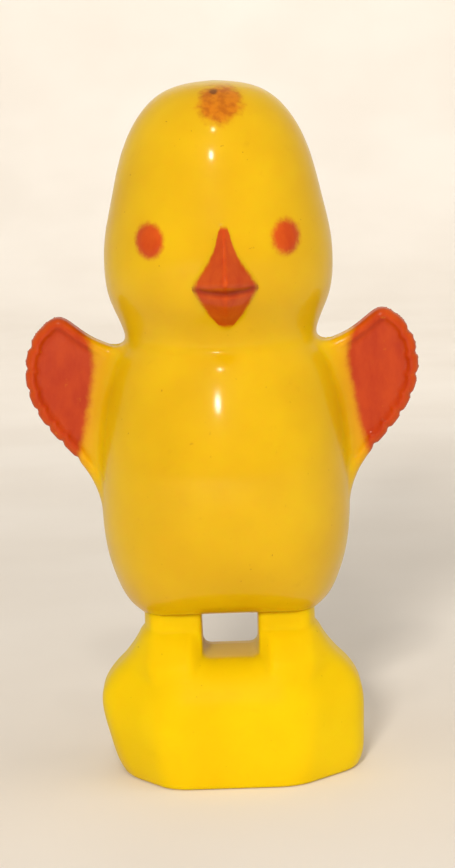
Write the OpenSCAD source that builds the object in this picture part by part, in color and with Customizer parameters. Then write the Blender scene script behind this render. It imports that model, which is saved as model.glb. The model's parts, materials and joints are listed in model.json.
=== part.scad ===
// Wind-up hopping chick: a hollow two-part moulded figure on a sprung foot block.
// A plate clockwork inside turns a wheel of pins that lifts the feet and lets them snap down.
// Millimetres, +Z up, the face looks along -Y, and the origin is the middle of the sole.

/* [Figure] */
// Height of the crown above the ground
height = 76; // [74:0.5:80]
// Largest radius of the head
head_r = 12.45; // [12.2:0.05:13]
// Largest radius of the torso
torso_r = 13.65; // [13.6:0.05:14.4]
// Wall of the moulded shells
wall = 1.2; // [1:0.1:1.3]
// Width over the wing tips
wing_span = 43.4; // [43:0.1:46]
// Thickness of a wing
wing_t = 4.4; // [3.6:0.2:5]

/* [Feet] */
// Widest part of the foot block
foot_w = 29.2; // [28.6:0.1:30]
// Front edge of the foot block from the leg line
foot_front = 10.2; // [9.8:0.1:11]
// Back edge of the foot block from the leg line
foot_back = 8.8; // [8.4:0.1:10]
// Clear width between the legs
leg_gap = 6.2; // [5.4:0.1:6.2]
// How far the feet are lifted before they are let go
lift = 1.9; // [1:0.1:1.9]

/* [Clockwork] */
// Thickness of the two movement plates
plate_t = 0.6; // [0.4:0.1:0.6]
// Free space between the plates
plate_gap = 10; // [10:0.1:10.2]
// Radial clearance of a running fit
run_fit = 0.04; // [0.02:0.01:0.08]
// Turns in the mainspring
spring_turns = 6; // [4:1:7]

/* [Key] */
// Radius of each wing of the key
key_lobe_r = 4.2; // [3.8:0.1:4.4]
// Thickness of the key's sheet
key_t = 0.9; // [0.7:0.1:1.1]

/* [Hidden] */
$fn = 48;

far = 60;                       // reaches past everything
neck_z = 48.4;
body_floor = 18;                // underside of the shells
axle_z = 39;                    // height of the winding arbor

// Places of the arbors, as [x, z] seen from the front
module_a = 0.45;                // great and second wheels
module_b = 0.4;                 // third wheel
leaves = 8;                     // leaves on each pinion
great_teeth = 32;
second_teeth = 24;
third_teeth = 21;
great_to_second = 242.2;        // angles of the lines of centres
second_to_third = -9.5;
third_to_fly = 21.4;
winding_at = [0, axle_z];
second_at = winding_at + polar(module_a * (great_teeth + leaves) / 2, great_to_second);
third_at = second_at + polar(module_a * (second_teeth + leaves) / 2, second_to_third);
fly_at = third_at + polar(module_b * (third_teeth + leaves) / 2, third_to_fly);

// Layers of the movement from front to back, as y
plate_front = -plate_gap / 2;   // inner face of the front plate
plate_back = plate_gap / 2;     // inner face of the back plate
end_shake = 0.05;               // play of an arbor between the plates
great_y = [-0.9, -0.3];
ratchet_y = [-0.1, 0.6];
spring_y = [0.9, 4.6];
second_y = [-2.4, -1.8];
third_y = [-3.8, -3.2];
fly_y = [1, 4.4];
lift_wheel_y = [-6.6, -6.0];
pins_front = -8.9;
front_plate_y = [plate_front - plate_t, plate_front];
back_plate_y = [plate_back, plate_back + plate_t];
inside_y = [plate_front + end_shake, plate_back - end_shake];
through_y = [plate_front - plate_t, plate_back + plate_t];
boss_y = plate_back + plate_t;  // where the back shell's screw bosses meet the back plate
shell_back_y = 13.35;           // where the bush sits in the back of the torso
key_boss_y = [shell_back_y + 0.9, shell_back_y + 5];
key_mid_y = shell_back_y + 6.2; // middle of the key's two wings

arbor_r = [1.1, 0.7, 0.55, 0.4];        // winding, second, third, fly
pivot_r = [0.6, 0.45, 0.4, 0.3];
pin_circle_r = 2.8;
pin_r = 0.4;
pin_count = 3;
pin_start = -12;                // angle of the first pin, just under the leaf

pillars_at = [[-8.2, 43.6], [8.2, 43.6], [-8.6, 25.2], [8.4, 25.2]];
screws_at = [[-8.3, 37.5], [8.3, 37.5], [-0.8, 27]];
pillar_r = [0.9, 0.5];           // between the plates, and where it is riveted through them
bridge_z = [24.2, 24.8];
bridge_t = bridge_z[1] - bridge_z[0];
bridge_tab = 1.6;               // half the width of the bridge's tongues in the plates

// The pegs that join the shells, and the screws that hold the movement to the back shell
pegs_at = [[-10.3, 58], [10.3, 58], [-11.1, 41], [11.1, 41]];
peg_r = 0.6;
peg_h = 1.6;
peg_fit = 0.05;
peg_boss_r = 1.3;
peg_boss_h = 3.5;
screw_r = 0.5;
screw_h = 2.8;                  // reach of a screw into its boss
screw_boss_r = 1.6;
bush_r = 2;
bush_rim_r = 2.9;
bush_rim_y = shell_back_y + 0.22;

leg_r = 9.45;                   // outer face of a leg, round the body's axis
leg_y = 4.2;                    // half the depth of a leg
leg_top = 20.6;
leg_fit = 0.15;                 // play of a leg in its opening
arch_w = 4.8;                   // arch in the body's underside between the legs
arch_h = 0.5;
// Hollow across the top of the foot block between the legs, as y and z from front to back
valley = [[-20, 13.4], [2, 13.4], [20, 10.6], [20, 30], [-20, 30]];
flange_z = 19.3;
thrust_at = [6.1, 0.9];         // middle of the right thrust spring
thrust_pocket_r = 1.6;
thrust_floor = 15.6;
yoke_screw_at = [5.1, -2.6];
yoke_screw_r = 0.45;
yoke_t = 0.6;
leaf_z = 31.05;                 // underside of the lifting leaf
leaf_t = 0.25;
foot_wall = 1.3;
foot_roof = 10.5;               // underside of the foot block's top
sole_t = 1.2;
sole_fit = 0.05;

// ---- Curves ----

function polar(r, a) = [r * cos(a), r * sin(a)];
function unit(v) = v / norm(v);
function reversed(p) = [for (i = [len(p) - 1 : -1 : 0]) p[i]];

// One point of a smooth curve between b and c, where a and d are the points on either side
function blend(a, b, c, d, t) =
    (2 * b + (c - a) * t + (2 * a - 5 * b + 4 * c - d) * t * t
     + (3 * b - 3 * c + d - a) * t * t * t) / 2;

// A smooth curve through all but the first and last of the points
function curve(p, steps) =
    [for (i = [1 : len(p) - 3], k = [0 : steps - 1]) blend(p[i - 1], p[i], p[i + 1], p[i + 2], k / steps),
     p[len(p) - 2]];

// The same line moved to its right-hand side by a distance
function moved(p, by) =
    [for (i = [0 : len(p) - 1])
        let (a = p[max(i - 1, 0)], b = p[min(i + 1, len(p) - 1)], t = unit(b - a))
        p[i] + by * [t[1], -t[0]]];

// Half outline of the head, as shares of its radius and of its height above the neck
head_shape = [[-0.454, 0.955], [0, 1], [0.454, 0.955], [0.667, 0.862], [0.819, 0.721],
              [0.924, 0.533], [0.988, 0.391], [1, 0.297], [0.96, 0.156], [0.862, 0.047]];
// Half outline of the torso, as its radius as a share and its height
torso_shape = [[0.758, neck_z], [0.828, 46.8], [0.923, 43.5], [0.98, 39.3], [1, 33], [0.996, 28.5],
               [0.96, 24.6], [0.894, 21.7], [0.788, 19.2], [0.715, body_floor], [0.6, 17]];
body_points = concat(
    [for (p = head_shape) [p[0] * head_r, neck_z + p[1] * (height - neck_z)]],
    [for (p = torso_shape) [p[0] * torso_r, p[1]]]);
body_line = curve(body_points, 3);

module body_outline() {
    polygon(concat(body_line, [[0, body_floor]]));
}

// The body's outline moved inwards by a distance
module inner_outline(by) {
    inside = [for (p = moved(body_line, by)) if (p[0] > 0.5 && p[1] > body_floor + by) p];
    last = inside[len(inside) - 1];
    polygon(concat([[0, height - by]], inside, [[last[0], body_floor + by], [0, body_floor + by]]));
}

// Where the belly curves under towards the legs, as half its depth and its height
belly_shape = [[15, 30], [13.5, 27], [12.5, 24.5], [11.2, 22.5], [9.5, 20.6], [7.7, 19.2], [5.6, 18.1],
               [3.4, 16.8]];

// Everything between the front and back of the belly, moved inwards by a distance
module belly_limit(by) {
    line = moved(belly_shape, by);
    rotate([90, 0, 90]) translate([0, 0, -far]) linear_extrude(2 * far)
        polygon(concat([[far, 2 * far], [far, 31]], line,
                       reversed([for (p = line) [-p[0], p[1]]]), [[-far, 31], [-far, 2 * far]]));
}

// Extrudes a shape drawn as seen from the front, between two values of y
module slab(y) {
    translate([0, y[1], 0]) rotate([90, 0, 0]) linear_extrude(y[1] - y[0]) children();
}

// A round bar along Y at [x, z]
module rod(at, r, y) {
    translate([at[0], y[1], at[1]]) rotate([90, 0, 0]) cylinder(r = r, h = y[1] - y[0]);
}

// Spins an outline about the body's axis, starting away from the parting plane
module spun() {
    rotate([0, 0, -60]) rotate_extrude($fn = 96) children();
}

module both_sides() {
    children();
    mirror([1, 0, 0]) children();
}

// ---- Shells ----

wing_tip = wing_span / 2;
wing_points = [[8, 44], [9.5, 46.4], [11.9, 47.6], [14, 48.6], [16.2, 50.2], [17.9, 51.1], [19.4, 50.4],
               [wing_tip - 0.8, 48.1], [wing_tip - 0.1, 45.6], [wing_tip - 0.2, 42.8], [20.3, 40.1],
               [18.3, 37.4], [15.7, 34.6], [13.4, 31.2], [10.5, 29.6], [8, 29]];

module wing_outline() {
    polygon(curve(wing_points, 2));
}

module beak() {
    polyhedron(
        points = [[0, -9.5, 61.6], [-4.7, -9.5, 54.8], [0, -9.5, 48.6], [4.7, -9.5, 54.8], [0, -16.2, 55]],
        faces = [[0, 1, 2], [2, 3, 0], [4, 1, 0], [4, 2, 1], [4, 3, 2], [4, 0, 3]]);
}

module tail() {
    translate([0, 8, 24.6]) rotate([-75, 0, 0]) cylinder(r1 = 4.4, r2 = 1.7, h = 9.3);
}

// The stretch of a leg that runs through the body's underside, grown by a distance
module leg_section(grow, y_half) {
    intersection() {
        translate([leg_gap / 2 - grow, -y_half - grow]) square([far, 2 * (y_half + grow)]);
        circle(r = leg_r + grow, $fn = 96);
    }
}

// Where the right leg runs through the underside
module leg_opening() {
    translate([0, 0, body_floor - 1]) linear_extrude(6) leg_section(leg_fit, leg_y);
}

module figure() {
    intersection() {
        spun() body_outline();
        belly_limit(0);
    }
    both_sides() slab([-wing_t / 2, wing_t / 2]) wing_outline();
    beak();
    tail();
}

// Everything in front of the parting plane, or behind it
module half(side) {
    translate([-far, side < 0 ? -far : 0, 0]) cube([2 * far, far, 2 * far]);
}

// The hollow moulding on one side of the parting plane
module moulding(side) {
    difference() {
        intersection() {
            figure();
            half(side);
        }
        intersection() {
            spun() inner_outline(wall);
            belly_limit(wall);
        }
        both_sides() leg_opening();
        translate([-arch_w / 2, -far, body_floor - 1]) cube([arch_w, 2 * far, 1 + arch_h]);
    }
}

// Cuts bosses off in the middle of the wall that they stand on
module inside_wall() {
    intersection() {
        children();
        spun() inner_outline(wall / 2);
        belly_limit(wall / 2);
    }
}

module front_shell() color("gold") {
    moulding(-1);
    inside_wall() for (at = pegs_at) rod(at, peg_boss_r, [-peg_boss_h, 0]);
    for (at = pegs_at) rod(at, peg_r, [-0.5, peg_h]);
}

module back_shell() color("gold") {
    difference() {
        union() {
            moulding(1);
            inside_wall() {
                for (at = pegs_at) rod(at, peg_boss_r, [0, peg_boss_h]);
                for (at = screws_at) rod(at, screw_boss_r, [boss_y, far]);
            }
        }
        for (at = pegs_at) rod(at, peg_r + peg_fit, [-1, peg_h + 0.2]);
        for (at = screws_at) rod(at, screw_r, [boss_y - 1, boss_y + screw_h + 0.2]);
        rod(winding_at, bush_r, [boss_y, far]);
    }
}

module arbor_bush() color("goldenrod") {
    difference() {
        union() {
            rod(winding_at, bush_r, [shell_back_y - 2, bush_rim_y]);
            rod(winding_at, bush_rim_r, [bush_rim_y, bush_rim_y + 0.5]);
        }
        rod(winding_at, arbor_r[0] + run_fit, [0, far]);
    }
}

// ---- Plates of the movement ----

module plate_outline() {
    polygon([[-9.6, 24.6], [-8.4, 23.4], [8.4, 23.4], [9.6, 24.6], [9.8, 33], [9.6, 42], [8.9, 44.9],
             [-8.9, 44.9], [-9.6, 42], [-9.8, 33]]);
}

module plate(y) {
    difference() {
        slab(y) plate_outline();
        for (at = pillars_at) rod(at, pillar_r[1], [-far, far]);
        slab([-far, far]) translate([-bridge_tab, bridge_z[0]]) square([2 * bridge_tab, bridge_t]);
        children();
    }
}

module front_plate() color("silver") {
    plate(front_plate_y) {
        rod(winding_at, pivot_r[0] + run_fit, [-far, far]);
        rod(second_at, arbor_r[1] + run_fit, [-far, far]);
        rod(third_at, pivot_r[2] + run_fit, [-far, far]);
        rod(fly_at, pivot_r[3] + run_fit, [-far, far]);
    }
}

module back_plate() color("silver") {
    plate(back_plate_y) {
        rod(winding_at, arbor_r[0] + run_fit, [-far, far]);
        rod(second_at, pivot_r[1] + run_fit, [-far, far]);
        rod(third_at, pivot_r[2] + run_fit, [-far, far]);
        rod(fly_at, pivot_r[3] + run_fit, [-far, far]);
        for (at = screws_at) rod(at, screw_r + 0.2, [-far, far]);
    }
}

module plate_pillars() color("silver") {
    for (at = pillars_at) {
        rod(at, pillar_r[0], [plate_front, plate_back]);
        rod(at, pillar_r[1], through_y);
        rod(at, 0.8, [through_y[0] - 0.3, through_y[0]]);
        rod(at, 0.8, [through_y[1], through_y[1] + 0.3]);
    }
}

module movement_screws() color("silver") {
    for (at = screws_at) difference() {
        union() {
            rod(at, 1.1, [plate_back - 0.7, plate_back]);
            rod(at, screw_r, [plate_back - 0.7, boss_y + screw_h]);
        }
        translate([at[0] - 2, plate_back - 1.7, at[1] - 0.15]) cube([4, 1.35, 0.3]);
    }
}

module thrust_bridge() color("silver") {
    translate([-7.3, plate_front, bridge_z[0]]) cube([14.6, plate_gap, bridge_t]);
    slab(through_y) translate([-bridge_tab, bridge_z[0]]) square([2 * bridge_tab, bridge_t]);
}

// ---- Wheels and pinions ----

// One tooth seen along its axis: radial flanks to the pitch circle and a rounded tip
function tooth(pitch_r, root_r, tip_r, half_width, at) =
    let (w = half_width / pitch_r * 180 / PI, mid_r = (pitch_r + 2 * tip_r) / 3)
    [polar(root_r, at - w), polar(pitch_r, at - w), polar(mid_r, at - w * 0.72), polar(tip_r, at - w * 0.25),
     polar(tip_r, at + w * 0.25), polar(mid_r, at + w * 0.72), polar(pitch_r, at + w), polar(root_r, at + w)];

module wheel_outline(teeth, m, first) {
    r = m * teeth / 2;
    polygon([for (i = [0 : teeth - 1])
        each tooth(r, r - 1.0 * m, r + 1.0 * m, 0.68 * m, first + i * 360 / teeth)]);
}

module pinion_outline(m, first) {
    r = m * leaves / 2;
    polygon([for (i = [0 : leaves - 1])
        each tooth(r, r - 1.35 * m, r + 0.55 * m, 0.5 * m, first + i * 360 / leaves)]);
}

// A toothed wheel on its arbor, crossed out with round holes
module wheel(at, teeth, m, first, bore, y, hole_r, holes_on_r, holes) {
    difference() {
        slab(y) translate(at) wheel_outline(teeth, m, first);
        rod(at, bore, [-far, far]);
        for (i = [0 : holes - 1]) rod(at + polar(holes_on_r, 45 + i * 360 / holes), hole_r, [-far, far]);
    }
}

// A leaf of the pinion sits in the wheel's space, so it is half a pitch off the line of centres
function meshed(line) = line + 180 + 180 / leaves;

module great_wheel() color("goldenrod") {
    wheel(winding_at, great_teeth, module_a, great_to_second, arbor_r[0] + run_fit, great_y, 1.2, 4.7, 4);
}

module second_wheel() color("goldenrod") {
    wheel(second_at, second_teeth, module_a, second_to_third, arbor_r[1], second_y, 1.0, 3.1, 5);
}

module third_wheel() color("goldenrod") {
    wheel(third_at, third_teeth, module_b, third_to_fly, arbor_r[2], third_y, 0.8, 2.4, 5);
}

module pinion(at, m, line, y) {
    slab(y) translate(at) pinion_outline(m, meshed(line));
}

module second_arbor() color("silver") {
    rod(second_at, arbor_r[1], [-7.1, inside_y[1]]);
    rod(second_at, pivot_r[1], [0, through_y[1]]);
    pinion(second_at, module_a, great_to_second, [second_y[1], 0.2]);
}

module third_arbor() color("silver") {
    rod(third_at, arbor_r[2], inside_y);
    rod(third_at, pivot_r[2], through_y);
    pinion(third_at, module_a, second_to_third, [third_y[1], -1.3]);
}

module fly_arbor() color("silver") {
    rod(fly_at, arbor_r[3], inside_y);
    rod(fly_at, pivot_r[3], through_y);
    pinion(fly_at, module_b, third_to_fly, [-4.2, -2.7]);
}

module governor_fly() color("silver") {
    difference() {
        union() {
            rod(fly_at, 0.85, fly_y);
            translate([fly_at[0] - 2.7, fly_y[0], fly_at[1] - 0.2]) cube([5.4, fly_y[1] - fly_y[0], 0.4]);
        }
        rod(fly_at, arbor_r[3], [-far, far]);
    }
}

// ---- Winding work ----

module winding_arbor() color("silver") {
    rod(winding_at, arbor_r[0], [inside_y[0], key_boss_y[1] - 1]);
    rod(winding_at, pivot_r[0], [through_y[0], 0]);
}

ratchet_teeth = 12;

module ratchet_wheel() color("silver") {
    difference() {
        slab(ratchet_y) translate(winding_at)
            polygon([for (i = [0 : ratchet_teeth - 1]) let (a = i * 360 / ratchet_teeth)
                each [polar(2.5, a), polar(3.3, a), polar(2.9, a + 15)]]);
        rod(winding_at, arbor_r[0], [-far, far]);
    }
}

module winding_key() color("silver") {
    difference() {
        union() {
            rod(winding_at, 1.9, key_boss_y);
            translate([0, 0, axle_z - key_t / 2]) linear_extrude(key_t) {
                both_sides() translate([key_lobe_r + 0.4, key_mid_y]) circle(r = key_lobe_r);
                translate([-2.2, key_boss_y[0] + 1]) square([4.4, key_mid_y - key_boss_y[0] + 1]);
            }
        }
        rod(winding_at, arbor_r[0], [0, key_boss_y[1] - 1]);
        both_sides() translate([key_lobe_r + 0.9, key_mid_y, 0]) cylinder(r = 1.7, h = far);
    }
}

// A flat strip seen on edge, following a line of points
module strip(p, t) {
    polygon(concat(moved(p, t / 2), reversed(moved(p, -t / 2))));
}

spring_r = [1.35, 6.6];
spring_t = 0.25;

module mainspring() color("steelblue") {
    steps = 24 * spring_turns;
    start = 200;
    end_at = pillars_at[1] - winding_at;
    end_a = atan2(end_at[1], end_at[0]);
    turned = start - end_a + 360 * (spring_turns - 1);
    coil = [for (i = [0 : steps]) let (s = i / steps)
        polar(spring_r[0] + (spring_r[1] - spring_r[0]) * s, start - turned * s)];
    slab(spring_y) {
        translate(winding_at) strip(coil, spring_t);
        translate(winding_at) strip([polar(6.5, end_a), polar(norm(end_at) - 1.05, end_a)], spring_t);
        difference() {
            translate(pillars_at[1]) circle(r = 1.2);
            translate(pillars_at[1]) circle(r = 0.95);
        }
    }
    difference() {
        rod(winding_at, spring_r[0] + 0.05, spring_y);
        rod(winding_at, arbor_r[0], [-far, far]);
    }
}

click_at = [5.9, -8];           // radius and angle of the click's rivet on the great wheel
click_y = [great_y[1], 0.45];
rivet_r = 0.45;

module click_spring() color("steelblue") {
    foot = polar(click_at[0], click_at[1]);
    tip = polar(2.9, 88);
    line = curve([foot + [0.5, -2], foot, foot + [-0.1, 1.9], [4.3, 3.6], [2.2, 4.1], tip,
                  tip + [-1, -1]], 4);
    difference() {
        slab(click_y) translate(winding_at) {
            strip(line, 0.3);
            translate(foot) circle(r = 0.9);
        }
        rod(winding_at + foot, rivet_r, [-far, far]);
    }
}

module click_rivet() color("silver") {
    at = winding_at + polar(click_at[0], click_at[1]);
    rod(at, rivet_r, click_y);
    rod(at, 0.75, [click_y[1], click_y[1] + 0.3]);
}

// ---- Lifting work ----

module pins(y) {
    for (i = [0 : pin_count - 1])
        rod(second_at + polar(pin_circle_r, pin_start + i * 360 / pin_count), pin_r, y);
}

module lift_wheel() color("goldenrod") {
    difference() {
        rod(second_at, pin_circle_r + 0.7, lift_wheel_y);
        rod(second_at, arbor_r[1], [-far, far]);
        pins([-far, far]);
    }
}

module lift_pins() color("silver") {
    pins([pins_front, lift_wheel_y[1]]);
}

yoke_y = [-7.2, -6.6];          // the upright bar across both legs
arm_x = [0.3, 3.1];             // the arm that stands up from the bar and carries the leaf
leaf_rivet_at = [2.2, -8.2];
leaf_rivet_r = 0.35;
// A rising pin slips off the end of the leaf when it has lifted the feet this far
let_go = asin((lift + leaf_z - second_at[1]) / pin_circle_r);
leaf_x = [second_at[0] + pin_circle_r * cos(let_go) + pin_r, 2.9];

module lift_yoke() color("silver") {
    difference() {
        union() {
            both_sides() translate([3.6, yoke_y[0], leg_top]) cube([3, -1.4 - yoke_y[0], yoke_t]);
            slab(yoke_y) {
                translate([-6.6, leg_top]) square([13.2, 3.2]);
                translate([arm_x[0], leg_top]) square([arm_x[1] - arm_x[0], leaf_z - leg_top]);
            }
            slab([pins_front, yoke_y[1]]) translate([arm_x[0], leaf_z - yoke_t])
                square([arm_x[1] - arm_x[0], yoke_t]);
        }
        both_sides() translate([yoke_screw_at[0], yoke_screw_at[1], 0])
            cylinder(r = yoke_screw_r + 0.1, h = far);
        translate([leaf_rivet_at[0], leaf_rivet_at[1], 0]) cylinder(r = leaf_rivet_r, h = far);
    }
}

module yoke_screws() color("silver") {
    both_sides() translate([yoke_screw_at[0], yoke_screw_at[1], 0]) difference() {
        union() {
            translate([0, 0, leg_top + yoke_t]) cylinder(r = 0.95, h = 0.6);
            translate([0, 0, leg_top - 2.6]) cylinder(r = yoke_screw_r, h = 2.6 + yoke_t + 0.3);
        }
        translate([-2, -0.125, leg_top + yoke_t + 0.3]) cube([4, 0.25, 1]);
    }
}

module lift_leaf() color("steelblue") {
    difference() {
        translate([leaf_x[0], -8.75, leaf_z]) cube([leaf_x[1] - leaf_x[0], 1.1, leaf_t]);
        translate([leaf_rivet_at[0], leaf_rivet_at[1], 0]) cylinder(r = leaf_rivet_r, h = far);
    }
}

module leaf_rivet() color("silver") {
    translate([leaf_rivet_at[0], leaf_rivet_at[1], 0]) {
        translate([0, 0, leaf_z - yoke_t]) cylinder(r = leaf_rivet_r, h = yoke_t + leaf_t);
        translate([0, 0, leaf_z + leaf_t]) cylinder(r = 0.5, h = 0.2);
        translate([0, 0, leaf_z - yoke_t - 0.2]) cylinder(r = 0.5, h = 0.2);
    }
}

// ---- Feet ----

// One level of the foot block: half widths of the side and of the front face, front, back and corner.
// The side at -X leans in by a further distance.
function foot_level(side, front_half, front, back, corner, lean, inset) = let (cut = inset * 0.4) [
    [cut - front_half, inset - front], [front_half - cut, inset - front],
    [side - inset, cut - corner], [side - inset, corner * 0.9],
    [front_half - cut, back - inset], [cut - front_half, back - inset],
    [lean + inset - side, corner * 0.9], [lean + inset - side, cut - corner]];

foot_half = foot_w / 2;
// Height, side, half the front face, front, back, corner and lean of each level
foot_levels = [
    [0, foot_half - 1.0, 6.9, foot_front - 0.4, foot_back - 0.4, 3.2, 1.6],
    [1.6, foot_half - 0.1, 7.3, foot_front, foot_back, 3.4, 1.5],
    [6.5, foot_half, 7.6, foot_front - 0.3, foot_back, 3.6, 0.4],
    [9.8, foot_half - 0.3, 7.6, foot_front - 1.1, foot_back - 0.6, 3.6, 0],
    [12.4, foot_half - 1.9, 7.2, foot_front - 2.8, foot_back - 1.7, 3.4, 0],
    [15.3, leg_r + 0.75, 6.2, leg_y + 1.0, leg_y + 0.6, 2.8, 0]];

module foot_solid(inset, low, high) {
    intersection() {
        hull() for (l = foot_levels) translate([0, 0, l[0]])
            linear_extrude(0.1) polygon(foot_level(l[1], l[2], l[3], l[4], l[5], l[6], inset));
        translate([-far, -far, low]) cube([2 * far, 2 * far, high - low]);
    }
}

module foot_block() color("gold") {
    difference() {
        union() {
            difference() {
                foot_solid(0, 0, far);
                rotate([90, 0, 90]) translate([0, 0, -leg_gap / 2]) linear_extrude(leg_gap) polygon(valley);
            }
            both_sides() {
                translate([0, 0, 14]) linear_extrude(leg_top - 14) leg_section(0, leg_y);
                translate([3.2, -leg_y - 0.9, flange_z]) cube([3.8, 2 * leg_y + 1.8, leg_top - flange_z]);
            }
        }
        foot_solid(foot_wall, -1, foot_roof);
        both_sides() {
            translate([thrust_at[0], thrust_at[1], thrust_floor]) cylinder(r = thrust_pocket_r, h = far);
            translate([yoke_screw_at[0], yoke_screw_at[1], leg_top - 3])
                cylinder(r = yoke_screw_r, h = far);
        }
    }
}

module sole_plate() color("gold") {
    foot_solid(foot_wall + sole_fit, 0, sole_t);
}

coil_r = 1.25;
wire_r = 0.17;
coil_turns = 6;
coil_steps = 14;                // rings in one turn
wire_sides = 6;

// A round wire wound into a helix, as one closed solid
module coil_spring(h) {
    rings = coil_turns * coil_steps;
    points = [for (i = [0 : rings], k = [0 : wire_sides - 1])
        let (a = i * 360 / coil_steps, b = k * 360 / wire_sides, r = coil_r + wire_r * cos(b))
        [r * cos(a), r * sin(a), wire_r + (h - 2 * wire_r) * i / rings + wire_r * sin(b)]];
    sides = [for (i = [0 : rings - 1], k = [0 : wire_sides - 1])
        let (n = (k + 1) % wire_sides, a = i * wire_sides, b = a + wire_sides)
        [a + k, a + n, b + n, b + k]];
    polyhedron(points, concat(sides, [[for (k = [wire_sides - 1 : -1 : 0]) k]],
                              [[for (k = [0 : wire_sides - 1]) rings * wire_sides + k]]));
}

module thrust_springs() color("steelblue") {
    both_sides() translate([thrust_at[0], thrust_at[1], thrust_floor])
        coil_spring(bridge_z[0] - thrust_floor);
}

front_shell();
back_shell();
arbor_bush();
front_plate();
back_plate();
plate_pillars();
movement_screws();
thrust_bridge();
mainspring();
winding_arbor();
ratchet_wheel();
winding_key();
great_wheel();
click_spring();
click_rivet();
second_arbor();
second_wheel();
lift_wheel();
lift_pins();
third_arbor();
third_wheel();
fly_arbor();
governor_fly();
foot_block();
sole_plate();
lift_yoke();
yoke_screws();
lift_leaf();
leaf_rivet();
thrust_springs();
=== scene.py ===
import json
from math import cos, pi, radians, sin

import bpy
import numpy as np
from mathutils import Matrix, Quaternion, Vector


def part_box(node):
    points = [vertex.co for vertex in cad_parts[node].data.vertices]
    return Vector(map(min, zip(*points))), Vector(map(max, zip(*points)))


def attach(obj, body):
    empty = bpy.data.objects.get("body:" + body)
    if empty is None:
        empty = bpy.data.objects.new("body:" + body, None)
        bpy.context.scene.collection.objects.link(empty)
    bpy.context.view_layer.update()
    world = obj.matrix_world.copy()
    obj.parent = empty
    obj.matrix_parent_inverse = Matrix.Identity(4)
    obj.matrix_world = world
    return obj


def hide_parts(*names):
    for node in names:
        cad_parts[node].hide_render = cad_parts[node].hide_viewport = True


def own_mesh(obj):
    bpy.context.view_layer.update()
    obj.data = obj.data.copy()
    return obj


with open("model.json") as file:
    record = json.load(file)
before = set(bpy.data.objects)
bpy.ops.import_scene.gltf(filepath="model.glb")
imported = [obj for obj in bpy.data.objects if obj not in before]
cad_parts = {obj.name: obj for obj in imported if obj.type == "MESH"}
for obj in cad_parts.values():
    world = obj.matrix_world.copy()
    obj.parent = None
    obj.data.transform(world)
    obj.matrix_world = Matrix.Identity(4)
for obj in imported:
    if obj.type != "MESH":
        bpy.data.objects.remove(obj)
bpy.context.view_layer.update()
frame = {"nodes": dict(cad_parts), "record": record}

# ---- Half shells ---------------------------------------------------------------------------
# The chick is two hollow half shells of glossy yellow plastic about a millimetre thick, moulded
# apart and pressed together on four pegs. The join runs over the crown, down both sides and round
# the wing edges. Beak, wings, eye bosses and tail stub are part of the mouldings.

MM = 0.001
front_low, front_high = (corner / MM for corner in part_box("front_shell"))
back_low, back_high = (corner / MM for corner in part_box("back_shell"))
crown = front_high.z
rim = front_low.z               # underside of the shells, over the feet
wing_tip = front_high.x
neck = 48.4
head_r = 12.45
torso_r = 13.65
shell_wall = 1.05
join_gap = 0.012                # half the open line between the shells


def spline(points, count, closed=False):
    """Evenly spread points along the one smooth curve that passes through all of these."""
    p = np.array(points, float)
    if closed:
        p = np.concatenate([p[-4:], p, p[:5]])
    steps = np.linalg.norm(np.diff(p, axis=0), axis=1)
    along = np.concatenate([[0], np.cumsum(steps)])
    system, right = np.eye(len(p)), np.zeros_like(p)
    for i in range(1, len(p) - 1):
        a, b = steps[i - 1], steps[i]
        system[i, i - 1 : i + 2] = a, 2 * (a + b), b
        right[i] = 6 * ((p[i + 1] - p[i]) / b - (p[i] - p[i - 1]) / a)
    bend = np.linalg.solve(system, right)
    ends = (along[4], along[-5]) if closed else (0, along[-1])
    s = np.linspace(*ends, count)
    i = np.clip(np.searchsorted(along, s) - 1, 0, len(steps) - 1)
    step = steps[i, None]
    b = (s - along[i])[:, None] / step
    a = 1 - b
    return a * p[i] + b * p[i + 1] + ((a**3 - a) * bend[i] + (b**3 - b) * bend[i + 1]) * step**2 / 6


def distance_to(outline, cell=0.1, margin=4):
    """The signed distance from a closed outline as a function of two coordinates, below zero inside."""
    start, end = outline, np.roll(outline, -1, axis=0)
    low = outline.min(0) - margin
    size = np.ceil((outline.max(0) + margin - low) / cell).astype(int) + 1
    u = low[0] + cell * np.arange(size[0])[:, None]
    v = low[1] + cell * np.arange(size[1])[None, :]
    nearest = np.full(size, 1e9)
    inside = np.zeros(size, bool)
    for (au, av), (bu, bv) in zip(start, end):
        du, dv = bu - au, bv - av
        t = np.clip(((u - au) * du + (v - av) * dv) / (du * du + dv * dv + 1e-12), 0, 1)
        nearest = np.minimum(nearest, (u - au - t * du) ** 2 + (v - av - t * dv) ** 2)
        if av != bv:
            inside ^= ((av > v) != (bv > v)) & (u < du * (v - av) / dv + au)
    grid = np.sqrt(nearest) * np.where(inside, -1, 1)

    def look_up(x, z):
        x, z = np.broadcast_arrays((x - low[0]) / cell, (z - low[1]) / cell)
        x, z = np.clip(x, 0, size[0] - 1.001), np.clip(z, 0, size[1] - 1.001)
        i, j = x.astype(int), z.astype(int)
        s, t = x - i, z - j
        lower = grid[i, j] * (1 - s) + grid[i + 1, j] * s
        upper = grid[i, j + 1] * (1 - s) + grid[i + 1, j + 1] * s
        return lower * (1 - t) + upper * t

    return look_up


def along_z(z, *points):
    """A value that changes smoothly with height, through (height, value) points from the bottom up."""
    heights, values = np.array(points, float).T
    line = spline(np.stack([heights, values], 1), 400)
    return np.interp(z, line[:, 0], line[:, 1])


def join(a, b, blend):
    """Two solids in one, with a fillet between them."""
    near = np.maximum(blend - abs(a - b), 0) / blend
    return np.minimum(a, b) - near**2 * blend / 4


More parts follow.
